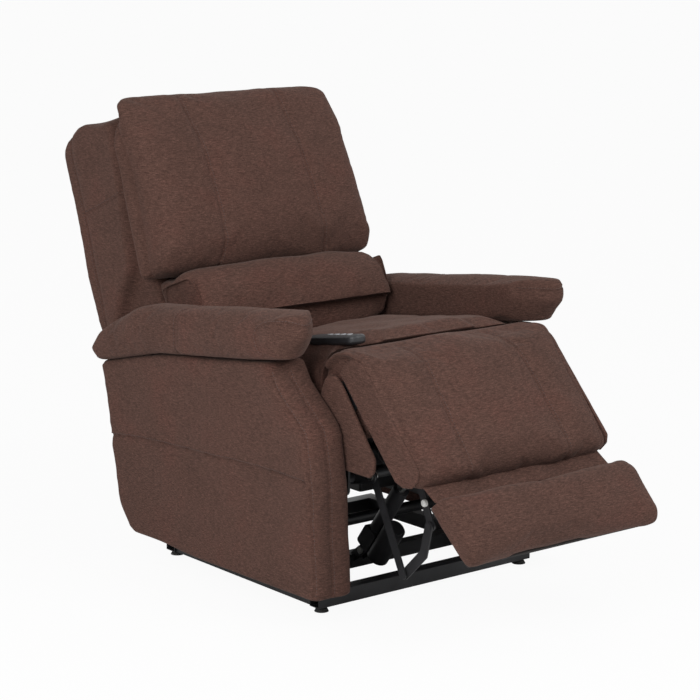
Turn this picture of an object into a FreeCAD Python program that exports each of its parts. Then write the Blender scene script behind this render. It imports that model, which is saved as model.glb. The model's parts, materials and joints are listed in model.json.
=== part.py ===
import FreeCAD, Part
import math
import os

# Power lift recliner chair, shown with its back slightly reclined and its footrest half raised.
# Millimetres. X runs across the chair, the sitter faces -Y and +Z is up.
# Sizes are written with y = 0 at the front face of the arms; every solid is then moved
# by ORIGIN_Y, which puts the origin on the floor under the middle of the whole chair.

V = FreeCAD.Vector
AXIS_X = V(1, 0, 0)
ORIGIN_Y = -371.0

# Widths across the chair, measured from the middle plane
ARM_INNER_X = 306.0
ARM_OUTER_X = 420.0
PAD_INNER_X = 302.0
PAD_OUTER_X = 441.0
CUSHION_HALF = 280.0
CHEEK_INNER_X = 284.5
CHEEK_OUTER_X = 301.5
BACK_HALF = 330.0
BACK_INNER_HALF = 295.0
LUMBAR_HALF = 288.0

# Floor base
TUBE = 35.0
TUBE_WALL = 2.0
TUBE_Z = 12.0
BASE_FRONT_Y = 80.0
BASE_REAR_Y = 700.0
BASE_MID_Y = 285.0
BASE_HALF = 330.0
RAIL_INNER_X = 295.0
RAIL_OUTER_X = 325.0
FOOT_R = 17.0
FOOT_STUD_R = 5.0
FOOT_X = 309.0

# Pins and clearances
PIN_R = 6.0
PIN_GAP = 0.05
HEAD_R = 9.5
HEAD_T = 3.0
PLATE_T = 5.0
LINK_T = 4.0
SOFT_GAP = 0.4
GUIDE_SLACK = 2.6

# Layers of the steel parts, outwards from the middle plane
LEG_RAIL_X = 186.0
DOG_LINK_X = 193.0
FRONT_LINK_X = 200.0
LINK_BRACKET_X = 206.5
SIDE_PLATE_X = 252.5
SIDE_PLATE_T = 6.0
LIFT_ARM_X = 264.0
LIFT_ARM_T = 20.0
GUIDE_LINK_X = 268.0
GUIDE_LINK_T = 8.0
BRACKET_X = 290.0
FLAP_RAIL_X = 179.0
BACK_PLATE_X = 243.0

# Pivots as (y, z)
LIFT_PIVOT = (150.0, 105.0)
LIFT_ARM_END = (520.0, 135.0)
GUIDE_PIVOT = (109.0, 132.0)
GUIDE_END = (400.0, 195.0)
KNEE = (26.0, 520.0)
BACK_HINGE = (740.0, 420.0)
FLAP_HINGE = (-222.0, 322.0)
FRONT_LINK_TOP = (42.0, 315.0)
V_PIVOT = (-65.0, 105.0)
DOG_LINK_END = (-146.0, 235.0)
LIFT_MOTOR_PIVOT = (262.0, 62.0)
LIFT_ROD_PIVOT = (110.0, 265.0)
LEG_MOTOR_PIVOT = (440.0, 290.0)
LEG_ROD_PIVOT = (-8.0, 388.0)
BACK_MOTOR_PIVOT = (490.0, 190.0)
BACK_ROD_PIVOT = (730.0, 262.0)

# Where each motor sits across the chair
LIFT_MOTOR_X = -45.0
LEG_MOTOR_X = 60.0
BACK_MOTOR_X = -60.0

# Motors
HOUSING_W = 44.0
ROD_R = 10.0
MOTOR_R = 27.0
MOTOR_LENGTH = 105.0
BORE_START = 38.0
LEG_RETRACT = 92.0
BACK_RETRACT = 72.0
CLEVIS_W = 21.0
LUG_T = 5.0

# Cross tubes of the moving seat frame
CROSS_R = 14.0
CROSS_WALL = 2.0
SEAT_FRONT_TUBE = (110.0, 300.0)
SEAT_REAR_TUBE = (462.0, 205.0)
TORQUE_Y = 330.0
BACK_TUBE = (765.0, 300.0)

# Soft forms
KNEE_R = 105.0
BOARD_T = 10.0
LEAN = math.radians(20.0)
BACK_REAR = -197.0
BACK_FRONT = 50.0
BACK_TOP = 690.0
BACK_BOTTOM = -130.0
PANEL_T = 45.0
PILLOW_LOW = 256.0
PILLOW_TOP = 732.0
PILLOW_FRONT = 140.0
LUMBAR_LOW = 72.0
LUMBAR_FRONT = 158.0
DECK_Z = 440.0
DECK_T = 10.0
SEAT_REAR_Y = 568.0

# Handset
HANDSET_LENGTH = 176.0
HANDSET_WIDTH = 48.0
HANDSET_T = 22.0
HANDSET_X = -226.0
HANDSET_Y = 147.0
HANDSET_Z = 619.6
HANDSET_TILT = 9.0
BUTTON_R = 7.0
BUTTON_GAP = 0.3
BUTTON_PROUD = 1.8
BUTTON_DEPTH = 4.0
BUTTON_PITCH = 24.0
BUTTONS = 4


def outline(points, radii, x):
    """Closed wire in the plane of one x, with its corners rounded by arcs."""
    count = len(points)
    corners = []
    for i in range(count):
        before = V(x, *points[i - 1])
        here = V(x, *points[i])
        after = V(x, *points[(i + 1) % count])
        back_dir = (before - here).normalize()
        next_dir = (after - here).normalize()
        half = back_dir.getAngle(next_dir) / 2.0
        radius = radii[i]
        reach = radius / math.tan(half)
        start = here + back_dir * reach
        stop = here + next_dir * reach
        middle_dir = (back_dir + next_dir).normalize()
        mid = here + middle_dir * (radius / math.sin(half) - radius)
        corners.append((start, mid, stop))
    edges = []
    for i in range(count):
        start, mid, stop = corners[i]
        edges.append(Part.Arc(start, mid, stop).toShape())
        edges.append(Part.LineSegment(stop, corners[(i + 1) % count][0]).toShape())
    return Part.Wire(edges)


def shifted(points, shifts):
    """Move each side of a polygon outwards by its own shift; side i runs from point i to i + 1."""
    count = len(points)
    area = sum(points[i - 1][0] * points[i][1] - points[i][0] * points[i - 1][1] for i in range(count))
    turn = 1.0 if area > 0 else -1.0
    lines = []
    for i in range(count):
        (y0, z0), (y1, z1) = points[i], points[(i + 1) % count]
        length = math.hypot(y1 - y0, z1 - z0)
        normal = (turn * (z1 - z0) / length, -turn * (y1 - y0) / length)
        lines.append((normal, normal[0] * y0 + normal[1] * z0 + shifts[i]))
    moved = []
    for i in range(count):
        (a, b), c = lines[i - 1]
        (d, e), f = lines[i]
        det = a * e - b * d
        moved.append(((c * e - b * f) / det, (a * f - c * d) / det))
    return moved


def cushion(points, radii, crowns, x_low, x_high, inset=9.0, edge=16.0, crown_edge=0.0):
    """Stuffed form: a side outline carried across x, drawn in at both ends and crowned between."""
    reach = (x_high - x_low) * 0.25
    stations = [(x_low, -inset, 0.0), (x_low + edge * 0.35, -inset * 0.35, 0.15 + crown_edge),
                (x_low + edge, 0.0, 0.3 + crown_edge), (x_low + reach, 0.0, 1.0),
                (x_high - reach, 0.0, 1.0),
                (x_high - edge, 0.0, 0.3 + crown_edge), (x_high - edge * 0.35, -inset * 0.35, 0.15 + crown_edge),
                (x_high, -inset, 0.0)]
    wires = []
    for x, draw, crown in stations:
        moved = shifted(points, [draw + crown * size for size in crowns])
        wires.append(outline(moved, [max(r + draw, 2.0) for r in radii], x))
    form = Part.makeLoft(wires, True, True)
    if form.Volume < 0:
        form.reverse()
    return form


def prism(points, radii, x_low, x_high):
    face = Part.Face(outline(points, radii, x_low))
    return face.extrude(V(x_high - x_low, 0, 0))


def disc(at, radius, x_low, x_high):
    return Part.makeCylinder(radius, x_high - x_low, V(x_low, at[0], at[1]), AXIS_X)


def strap(points, width, x_low, x_high, holes=(), hole_r=PIN_R + PIN_GAP):
    """Flat steel strap with round ends that runs through the given points."""
    shape = None
    for start, stop in zip(points, points[1:]):
        length = math.hypot(stop[0] - start[0], stop[1] - start[1])
        side = (-(stop[1] - start[1]) / length * width / 2.0, (stop[0] - start[0]) / length * width / 2.0)
        ring = [(start[0] + side[0], start[1] + side[1]), (stop[0] + side[0], stop[1] + side[1]),
                (stop[0] - side[0], stop[1] - side[1]), (start[0] - side[0], start[1] - side[1])]
        wire = Part.makePolygon([V(x_low, *p) for p in ring + ring[:1]])
        piece = Part.Face(wire).extrude(V(x_high - x_low, 0, 0))
        for end in (start, stop):
            piece = piece.fuse(disc(end, width / 2.0, x_low, x_high))
        shape = piece if shape is None else shape.fuse(piece)
    for at in holes:
        shape = shape.cut(disc(at, hole_r, x_low - 1, x_high + 1))
    return shape.removeSplitter()


def pin(at, x_low, x_high):
    """Rivet through the plates between two x, with a head outside each end."""
    shape = disc(at, PIN_R, x_low, x_high)
    shape = shape.fuse(disc(at, HEAD_R, x_low - HEAD_T, x_low))
    return shape.fuse(disc(at, HEAD_R, x_high, x_high + HEAD_T)).removeSplitter()


def mirrored(shape):
    return shape.mirror(V(0, 0, 0), AXIS_X)


def square_tube(x, y, z, wide, deep, high, along):
    """Rectangular steel tube, open at both ends of its long direction."""
    wall = TUBE_WALL
    outer = Part.makeBox(wide, deep, high, V(x, y, z))
    if along == "x":
        inner = Part.makeBox(wide + 2, deep - 2 * wall, high - 2 * wall, V(x - 1, y + wall, z + wall))
    else:
        inner = Part.makeBox(wide - 2 * wall, deep + 2, high - 2 * wall, V(x + wall, y - 1, z + wall))
    return outer.cut(inner)


def round_tube(at, half):
    tube = disc(at, CROSS_R, -half, half)
    return tube.cut(disc(at, CROSS_R - CROSS_WALL, -half - 1, half + 1))


def lug_pair(at, tube_at, x, tube_reach, capped=False):
    """Two welded ears that run from a cross tube to a motor's pivot, with a hole or a capped pin end."""
    shapes = []
    for side in (-1, 1):
        x_low = x + side * (CLEVIS_W / 2.0 + 0.5) if side > 0 else x - CLEVIS_W / 2.0 - 0.5 - LUG_T
        length = math.hypot(at[0] - tube_at[0], at[1] - tube_at[1])
        start = (tube_at[0] + (at[0] - tube_at[0]) * tube_reach / length,
                 tube_at[1] + (at[1] - tube_at[1]) * tube_reach / length)
        ear = strap([start, at], 24.0, x_low, x_low + LUG_T, [] if capped else [at])
        if capped:
            head_x = x_low + LUG_T if side > 0 else x_low - HEAD_T
            ear = ear.fuse(disc(at, HEAD_R, head_x, head_x + HEAD_T))
        shapes.append(ear)
    return shapes


def welded(tube, lugs):
    for lug in lugs:
        tube = tube.fuse(lug)
    return tube.removeSplitter()


def back_point(up, forward):
    """A place on the leaning back: up along it and forward out of it, from its hinge."""
    return (BACK_HINGE[0] + up * math.sin(LEAN) - forward * math.cos(LEAN),
            BACK_HINGE[1] + up * math.cos(LEAN) + forward * math.sin(LEAN))


def base_cross_tube(y):
    half = BASE_HALF if y != BASE_MID_Y else RAIL_INNER_X
    return square_tube(-half, y, TUBE_Z, 2 * half, TUBE, TUBE, "x")


def base_rail():
    front = BASE_FRONT_Y + TUBE
    rear = BASE_REAR_Y - TUBE
    return square_tube(RAIL_INNER_X, front, TUBE_Z, RAIL_OUTER_X - RAIL_INNER_X, rear - front, TUBE, "y")


def feet():
    shapes = []
    for x in (-FOOT_X, FOOT_X):
        for y in (BASE_FRONT_Y + TUBE / 2.0, BASE_REAR_Y - TUBE / 2.0):
            glide = Part.makeCone(FOOT_R, FOOT_R - 4.0, TUBE_Z - 4.0, V(x, y, 0))
            stud = Part.makeCylinder(FOOT_STUD_R, 4.0, V(x, y, TUBE_Z - 4.0))
            shapes.append(glide.fuse(stud))
    return shapes


def lift_bracket():
    """Upright plate on the base that carries the two lift pivots of one side."""
    low = TUBE_Z + 2.0
    points = [(84.0, low), (205.0, low), (205.0, TUBE_Z + TUBE), (172.0, LIFT_PIVOT[1]),
              (130.0, GUIDE_PIVOT[1] + 22.0), (88.0, GUIDE_PIVOT[1] + 22.0), (84.0, 60.0)]
    plate = prism(points, [6, 6, 12, 20, 18, 18, 12], BRACKET_X, RAIL_INNER_X)
    tab = Part.makeBox(RAIL_INNER_X - BRACKET_X + 2, TUBE + 2, TUBE + 2,
                       V(BRACKET_X - 1, BASE_FRONT_Y - 1, TUBE_Z - 1))
    for at in (LIFT_PIVOT, GUIDE_PIVOT):
        plate = plate.cut(disc(at, PIN_R + PIN_GAP, BRACKET_X - 1, RAIL_INNER_X + 1))
    return plate.cut(tab)


def lift_arm():
    """Box-section arm with a closed round end at each pivot."""
    arm = strap([LIFT_PIVOT, LIFT_ARM_END], 30.0, LIFT_ARM_X, LIFT_ARM_X + LIFT_ARM_T,
                [LIFT_PIVOT, LIFT_ARM_END])
    length = math.hypot(LIFT_ARM_END[0] - LIFT_PIVOT[0], LIFT_ARM_END[1] - LIFT_PIVOT[1])
    share = 45.0 / length
    span = (LIFT_ARM_END[0] - LIFT_PIVOT[0], LIFT_ARM_END[1] - LIFT_PIVOT[1])
    near = (LIFT_PIVOT[0] + span[0] * share, LIFT_PIVOT[1] + span[1] * share)
    far = (LIFT_ARM_END[0] - span[0] * share, LIFT_ARM_END[1] - span[1] * share)
    channel = strap([near, far], 18.0, LIFT_ARM_X + 3.0, LIFT_ARM_X + LIFT_ARM_T + 1)
    return arm.cut(channel)


def torque_point():
    share = (TORQUE_Y - LIFT_PIVOT[0]) / (LIFT_ARM_END[0] - LIFT_PIVOT[0])
    return (TORQUE_Y, LIFT_PIVOT[1] + (LIFT_ARM_END[1] - LIFT_PIVOT[1]) * share)


def guide_link():
    """Lower link of the lift, with a loose hole at its upper pin."""
    x_high = GUIDE_LINK_X + GUIDE_LINK_T
    link = strap([GUIDE_PIVOT, GUIDE_END], 26.0, GUIDE_LINK_X, x_high, [GUIDE_PIVOT])
    return link.cut(disc(GUIDE_END, PIN_R + GUIDE_SLACK, GUIDE_LINK_X - 1, x_high + 1))


def seat_side_plate():
    """Pressed side plate of the seat frame, from the front link to the back hinge."""
    points = [(64.0, 276.0), (110.0, 250.0), (330.0, 168.0), (425.0, 172.0), (490.0, 108.0),
              (552.0, 108.0), (640.0, 250.0), (768.0, 405.0), (768.0, 446.0), (700.0, 446.0), (600.0, 350.0),
              (150.0, 350.0), (138.0, 426.0), (92.0, 426.0), (64.0, 412.0)]
    radii = [14, 14, 60, 18, 22, 22, 60, 22, 20, 20, 60, 30, 8, 8, 4]
    plate = prism(points, radii, SIDE_PLATE_X, SIDE_PLATE_X + SIDE_PLATE_T)
    for at in (LIFT_ARM_END, GUIDE_END, BACK_HINGE):
        plate = plate.cut(disc(at, PIN_R + PIN_GAP, SIDE_PLATE_X - 1, SIDE_PLATE_X + SIDE_PLATE_T + 1))
    for start, stop in (((190.0, 305.0), (290.0, 268.0)), ((490.0, 290.0), (560.0, 250.0))):
        plate = plate.cut(strap([start, stop], 44.0, SIDE_PLATE_X - 1, SIDE_PLATE_X + SIDE_PLATE_T + 1))
    return plate


def knee_hanger():
    """Flange plate on the seat frame that holds the footrest's knee pin beside the roll."""
    x = CUSHION_HALF + 0.7
    points = [(0.0, 545.0), (0.0, 495.0), (60.0, 415.0), (150.0, 415.0), (150.0, 432.0), (60.0, 545.0)]
    plate = prism(points, [18, 18, 10, 8, 8, 18], x, x + 3.0)
    plate = plate.cut(disc(KNEE, PIN_R + PIN_GAP, x - 1, x + 4))
    flange_x = SIDE_PLATE_X + SIDE_PLATE_T
    shelf = Part.makeBox(x + 3.0 - flange_x, 66.0, 3.0, V(flange_x, 62.0, 415.0))
    return plate.fuse(shelf).removeSplitter()


def link_bracket():
    """Ear on the seat frame's front tube that carries the front link's upper pin."""
    x_high = LINK_BRACKET_X + PLATE_T
    return strap([SEAT_FRONT_TUBE, FRONT_LINK_TOP], 34.0, LINK_BRACKET_X, x_high, [FRONT_LINK_TOP])


def front_link():
    """Straight hanging link that carries the pin of the cranked link at its lower end."""
    link = strap([FRONT_LINK_TOP, V_PIVOT], 22.0, FRONT_LINK_X, FRONT_LINK_X + LINK_T, [FRONT_LINK_TOP])
    joint_pin = disc(V_PIVOT, PIN_R, DOG_LINK_X, FRONT_LINK_X)
    return link.fuse(joint_pin).fuse(disc(V_PIVOT, HEAD_R, DOG_LINK_X - HEAD_T, DOG_LINK_X)).removeSplitter()


def dog_link():
    """Cranked link from the hanging pivot up to the leg rail."""
    bend = (-129.0, 167.0)
    x_high = DOG_LINK_X + LINK_T
    link = strap([V_PIVOT, bend, DOG_LINK_END], 24.0, DOG_LINK_X, x_high, [V_PIVOT])
    return link.fuse(disc(DOG_LINK_END, HEAD_R, x_high, x_high + 2.0))


def leg_rail():
    """Welded straps under the leg board, with the flap's hinge at the lower end."""
    x_high = LEG_RAIL_X + LINK_T
    depth = BOARD_T + 11.3
    top = strap([leg_point(130.0, depth), leg_point(236.0, depth), FLAP_HINGE], 22.0, LEG_RAIL_X, x_high)
    low = strap([leg_point(200.0, depth), DOG_LINK_END], 22.0, LEG_RAIL_X, x_high)
    rail = top.fuse(low)
    rail = rail.cut(disc(FLAP_HINGE, PIN_R + PIN_GAP, LEG_RAIL_X - 1, x_high + 1))
    return rail.fuse(disc(DOG_LINK_END, HEAD_R, LEG_RAIL_X - HEAD_T, LEG_RAIL_X)).removeSplitter()


def flap_point(along, out):
    """A place on the footrest flap: along its slope and out of its underside, from its hinge."""
    slope = math.radians(40.0)
    return (FLAP_HINGE[0] - along * math.cos(slope) - out * math.sin(slope),
            FLAP_HINGE[1] - along * math.sin(slope) + out * math.cos(slope))


def flap_rail():
    depth = -BOARD_T - 11.5
    route = [FLAP_HINGE, flap_point(3.0, depth), flap_point(150.0, depth)]
    return strap(route, 22.0, FLAP_RAIL_X, FLAP_RAIL_X + LINK_T, [FLAP_HINGE])


def flap_board():
    points = [flap_point(16.0, 0), flap_point(16.0, -BOARD_T), flap_point(178.0, -BOARD_T), flap_point(178.0, 0)]
    return prism(points, [3, 3, 3, 3], -262.0, 262.0)


def flap_pad():
    points = [flap_point(14.0, 0), flap_point(190.0, 0), flap_point(203.0, 34.0), flap_point(180.0, 60.0),
              flap_point(66.0, 74.0), flap_point(26.0, 56.0)]
    return cushion(points, [5, 8, 16, 16, 24, 14], [0, 2, 2, 6, 2, 0], -CUSHION_HALF, CUSHION_HALF, 8.0, 20.0)


def leg_line():
    """The straight underside of the leg pad, as a start, an end and a unit normal pointing down."""
    start = (26.0, 512.0)
    end = (-135.0, 338.0)
    length = math.hypot(end[0] - start[0], end[1] - start[1])
    return start, end, (-(end[1] - start[1]) / length, (end[0] - start[0]) / length)


def leg_point(along, depth):
    """A place under the leg pad: along its underside from the knee, and down from it."""
    start, end, down = leg_line()
    length = math.hypot(end[0] - start[0], end[1] - start[1])
    return (start[0] + (end[0] - start[0]) * along / length + down[0] * depth,
            start[1] + (end[1] - start[1]) * along / length + down[1] * depth)


def leg_board():
    points = [leg_point(112.0, SOFT_GAP), leg_point(224.0, SOFT_GAP), leg_point(224.0, BOARD_T),
              leg_point(112.0, BOARD_T)]
    return prism(points, [2, 2, 2, 2], -262.0, 262.0)


def knee_roll(radius, half, rounding):
    """Barrel-ended roll about the knee axis."""
    turn = [V(-half, 0, KNEE[1]), V(-half, 0, KNEE[1] + radius - rounding)]
    ends = []
    for side in (-1, 1):
        start = V(side * half, KNEE[0], KNEE[1] + radius - rounding)
        stop = V(side * (half - rounding), KNEE[0], KNEE[1] + radius)
        reach = rounding * (1.0 - math.sqrt(0.5))
        mid = V(side * (half - reach), KNEE[0], KNEE[1] + radius - reach)
        ends.append((start, mid, stop))
    left, right = ends
    edges = [Part.LineSegment(V(-half, KNEE[0], KNEE[1]), left[0]).toShape(),
             Part.Arc(*left).toShape(),
             Part.LineSegment(left[2], right[2]).toShape(),
             Part.Arc(right[2], right[1], right[0]).toShape(),
             Part.LineSegment(right[0], V(half, KNEE[0], KNEE[1])).toShape(),
             Part.LineSegment(V(half, KNEE[0], KNEE[1]), V(-half, KNEE[0], KNEE[1])).toShape()]
    face = Part.Face(Part.Wire(edges))
    return face.revolve(V(0, KNEE[0], KNEE[1]), AXIS_X, 360.0)


def leg_pad():
    """Chaise pad: a roll at the knee that runs on into the sloping calf cushion."""
    start, end, down = leg_line()
    top = (KNEE[0] + down[0] * -KNEE_R, KNEE[1] + down[1] * -KNEE_R)
    points = [start, top, (-232.0, 374.0), (-206.0, 339.0), end]
    slab = cushion(points, [4, 4, 26, 22, 26], [0, 12, 6, 0, 0], -CUSHION_HALF, CUSHION_HALF, 12.0, 24.0)
    roll = knee_roll(KNEE_R, CUSHION_HALF, 16.0)
    bore = disc(KNEE, PIN_R + PIN_GAP, CUSHION_HALF - 34.0, CUSHION_HALF + 1)
    return roll.fuse(slab).cut(bore).cut(mirrored(bore))


def seat_cushion():
    points = [(60.0, DECK_Z + DECK_T), (SEAT_REAR_Y, DECK_Z + DECK_T), (SEAT_REAR_Y, 540.0), (78.0, 613.0)]
    pad = cushion(points, [6, 14, 30, 4], [0, 0, 8, 0], -CUSHION_HALF, CUSHION_HALF, 8.0, 20.0)
    return pad.cut(disc(KNEE, KNEE_R + 1.5, -CUSHION_HALF - 5, CUSHION_HALF + 5))


def seat_deck():
    """Sprung platform under the seat cushion, with a frame lip along each side."""
    deck = Part.makeBox(2 * (SIDE_PLATE_X - 4.0), SEAT_REAR_Y - 140.0, DECK_T,
                        V(-SIDE_PLATE_X + 4.0, 140.0, DECK_Z))
    for side in (-1, 1):
        x = side * (SIDE_PLATE_X - 4.0) - (0 if side < 0 else 4.0)
        lip = Part.makeBox(4.0, SEAT_REAR_Y - 160.0, DECK_Z - 300.0, V(x, 160.0, 300.0))
        deck = deck.fuse(lip)
    return deck.removeSplitter()


def seat_cheek():
    """Upholstered side of the seat box beside the leg pad."""
    points = [(560.0, 344.0), (560.0, 560.0), (120.0, 572.0), (50.0, 560.0), (-84.0, 390.0), (-70.0, 345.0)]
    return cushion(points, [12, 12, 30, 40, 24, 28], [0] * 6, CHEEK_INNER_X, CHEEK_OUTER_X, 3.0, 4.0)


def arm_panel():
    """Upholstered arm body with its scooped neck under the pad."""
    points = [(-17.0, 62.0), (726.0, 62.0), (792.0, 140.0), (812.0, 300.0), (852.0, 478.0), (600.0, 536.0),
              (160.0, 588.0), (128.0, 540.0), (20.0, 452.0), (-3.0, 320.0)]
    radii = [10, 46, 90, 120, 6, 150, 6, 60, 60, 260]
    return cushion(points, radii, [0] * 10, ARM_INNER_X, ARM_OUTER_X, 7.0, 12.0)


def arm_pad():
    """Pillow-topped arm pad that droops over its outer side."""
    points = [(850.0, 479.0), (600.0, 537.0), (168.0, 588.5), (72.0, 600.0), (12.0, 660.0), (30.0, 706.0),
              (240.0, 689.0), (690.0, 636.0), (846.0, 560.0), (890.0, 506.0)]
    radii = [10, 150, 40, 30, 24, 26, 300, 60, 30, 16]
    crowns = [0, 0, 0, 3, 3, 4, 6, 5, 3, 2]
    return cushion(points, radii, crowns, PAD_INNER_X, PAD_OUTER_X, 14.0, 30.0, 0.35)


def back_shell():
    """Outer back: a box between the arms, wings above them and a skirt panel below."""
    core = prism([back_point(60, BACK_REAR), back_point(BACK_TOP, BACK_REAR), back_point(BACK_TOP, BACK_FRONT),
                  back_point(60, BACK_FRONT)], [20, 44, 20, 12], -BACK_INNER_HALF, BACK_INNER_HALF)
    front = BACK_FRONT - 8.0
    wing_points = [(928.0, 478.0), back_point(140, BACK_REAR - 3), back_point(BACK_TOP + 3, BACK_REAR - 3),
                   back_point(BACK_TOP + 3, front), (846.0, 704.0), (880.0, 640.0)]
    wings = cushion(wing_points, [14, 30, 44, 24, 24, 60], [0] * 6, -BACK_HALF, BACK_HALF, 8.0, 14.0)
    half = BACK_INNER_HALF - 3.0
    skirt = prism([back_point(BACK_BOTTOM, BACK_REAR + 3), back_point(100, BACK_REAR + 3),
                   back_point(100, BACK_REAR + PANEL_T), back_point(BACK_BOTTOM, BACK_REAR + PANEL_T)],
                  [8, 3, 3, 8], -half, half)
    return wings.fuse(core).fuse(skirt)


def back_hinge_plate():
    """Plate that carries the back on its hinge pin and reaches down to the back's motor tube."""
    x_high = BACK_PLATE_X + PLATE_T
    arm = strap([back_point(58, 10), BACK_HINGE, BACK_TUBE], 34.0, BACK_PLATE_X, x_high)
    arm = arm.cut(disc(BACK_HINGE, PIN_R + PIN_GAP, BACK_PLATE_X - 1, x_high + 1))
    core = prism([back_point(60 - SOFT_GAP, BACK_REAR), back_point(BACK_TOP, BACK_REAR),
                  back_point(BACK_TOP, BACK_FRONT + 60), back_point(60 - SOFT_GAP, BACK_FRONT + 60)],
                 [1, 1, 1, 1], 0, BACK_HALF)
    return arm.cut(core)


def lumbar_cushion():
    gap = BACK_FRONT + SOFT_GAP
    points = [back_point(LUMBAR_LOW, gap), back_point(PILLOW_LOW - 3.0, gap),
              back_point(PILLOW_LOW - 3.0, LUMBAR_FRONT - 20.0), back_point(200.0, LUMBAR_FRONT),
              back_point(LUMBAR_LOW + 10.0, LUMBAR_FRONT)]
    return cushion(points, [8, 12, 26, 40, 34], [0, 0, 5, 8, 2], -LUMBAR_HALF, LUMBAR_HALF, 10.0, 24.0)


def head_pillow():
    gap = BACK_FRONT + SOFT_GAP
    points = [back_point(PILLOW_LOW, gap), back_point(BACK_TOP + 4.5, gap), back_point(BACK_TOP + 4.5, 24.0),
              back_point(PILLOW_TOP, 30.0), back_point(PILLOW_TOP - 22.0, 92.0),
              back_point(600.0, PILLOW_FRONT - 12.0), back_point(300.0, PILLOW_FRONT + 8.0),
              back_point(PILLOW_LOW, PILLOW_FRONT - 18.0)]
    radii = [10, 3, 8, 16, 40, 90, 30, 20]
    pillow = cushion(points, radii, [0, 0, 0, 4, 10, 22, 8, 0], -BACK_HALF, BACK_HALF, 12.0, 30.0)
    return pillow


def motor_frame(pivot, rod_pivot):
    """Unit direction from a motor's pivot to its rod's pivot, and the distance."""
    span = (rod_pivot[0] - pivot[0], rod_pivot[1] - pivot[1])
    length = math.hypot(*span)
    return (span[0] / length, span[1] / length), length


def motor_housing(pivot, rod_pivot, x, below, tube_share):
    """Gear housing with a clevis tongue, a guide tube along the rod and a motor can beside it."""
    (dy, dz), length = motor_frame(pivot, rod_pivot)
    ny, nz = (dz, -dy) if below else (-dz, dy)

    def at(along, across):
        return (pivot[0] + dy * along + ny * across, pivot[1] + dz * along + nz * across)

    half = HOUSING_W / 2.0
    box = prism([at(16, -half), at(76, -half), at(76, half), at(16, half)], [8, 8, 8, 8], x - half, x + half)
    tongue = strap([pivot, at(24, 0)], 20.0, x - CLEVIS_W / 2.0, x + CLEVIS_W / 2.0, [pivot])
    end = length * tube_share
    tube = Part.makeCylinder(half - 2.0, end - 60.0, V(x, *at(60.0, 0)), V(0, dy, dz))
    start = at(20.0, half + MOTOR_R - 6.0)
    can = Part.makeCylinder(MOTOR_R, MOTOR_LENGTH, V(x, *start), V(0, dy, dz))
    cap = Part.makeCylinder(MOTOR_R - 5.0, 6.0, V(x, *at(20.0 + MOTOR_LENGTH, half + MOTOR_R - 6.0)), V(0, dy, dz))
    body = box.fuse(tongue).fuse(tube).fuse(can).fuse(cap)
    bore = Part.makeCylinder(ROD_R + PIN_GAP, length, V(x, *at(BORE_START, 0)), V(0, dy, dz))
    return body.cut(bore).removeSplitter()


def motor_rod(pivot, rod_pivot, x, retract):
    """Push rod with its eye; retract is the room left for it to slide further in."""
    (dy, dz), length = motor_frame(pivot, rod_pivot)
    inner = BORE_START + 2.0 + retract
    start = (pivot[0] + dy * inner, pivot[1] + dz * inner)
    shaft = Part.makeCylinder(ROD_R, length - inner - 14.0, V(x, *start), V(0, dy, dz))
    neck = (rod_pivot[0] - dy * 20.0, rod_pivot[1] - dz * 20.0)
    eye = strap([neck, rod_pivot], 20.0, x - CLEVIS_W / 2.0, x + CLEVIS_W / 2.0)
    rod = shaft.fuse(eye).cut(disc(rod_pivot, PIN_R + PIN_GAP, x - 20, x + 20))
    return rod.removeSplitter()


def motor_pin(at, x):
    reach = CLEVIS_W / 2.0 + 0.5 + LUG_T
    return pin(at, x - reach, x + reach)


def leg_drive():
    """Cross plate under the knee roll that the footrest's motor pushes, welded between the leg rails."""
    plate = Part.makeBox(2 * LEG_RAIL_X, 66.0, 5.0, V(-LEG_RAIL_X, -50.0, KNEE[1] - KNEE_R - 8.0))
    plate = welded(plate, lug_pair(LEG_ROD_PIVOT, (-16.0, 412.0), LEG_MOTOR_X, 0.0, True))
    roll = disc(KNEE, KNEE_R + SOFT_GAP, -CUSHION_HALF, CUSHION_HALF)
    return plate.cut(roll)


def handset_place(shape):
    shape.rotate(V(0, 0, 0), AXIS_X, -HANDSET_TILT)
    shape.translate(V(HANDSET_X, HANDSET_Y, HANDSET_Z))
    return shape


def button_spots():
    first = -HANDSET_LENGTH / 2.0 + 38.0
    return [first + BUTTON_PITCH * i for i in range(BUTTONS)]


def handset_body():
    """Slim rounded wand, narrower at its tail, with a seat for each button."""
    half = HANDSET_LENGTH / 2.0
    body = Part.makeBox(HANDSET_WIDTH, HANDSET_LENGTH, HANDSET_T, V(-HANDSET_WIDTH / 2.0, -half, -HANDSET_T / 2.0))
    upright = [e for e in body.Edges if abs(e.tangentAt(e.FirstParameter).z) > 0.9]
    body = body.makeFillet(HANDSET_WIDTH / 2.0 - 4.0, upright)
    rim = [e for e in body.Edges if abs(e.CenterOfMass.z) > HANDSET_T / 2.0 - 0.1]
    body = body.makeFillet(HANDSET_T / 2.0 - 3.0, rim)
    for y in button_spots():
        seat = Part.makeCylinder(BUTTON_R + BUTTON_GAP, BUTTON_DEPTH, V(0, y, HANDSET_T / 2.0 - BUTTON_DEPTH))
        body = body.cut(seat)
    return handset_place(body)


def handset_button(y):
    floor = HANDSET_T / 2.0 - BUTTON_DEPTH + 1.6
    height = HANDSET_T / 2.0 + BUTTON_PROUD - floor
    button = Part.makeCylinder(BUTTON_R, height, V(0, y, floor))
    button = button.makeFillet(1.2, [e for e in button.Edges if e.CenterOfMass.z > floor + height - 0.1])
    return handset_place(button)


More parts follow.
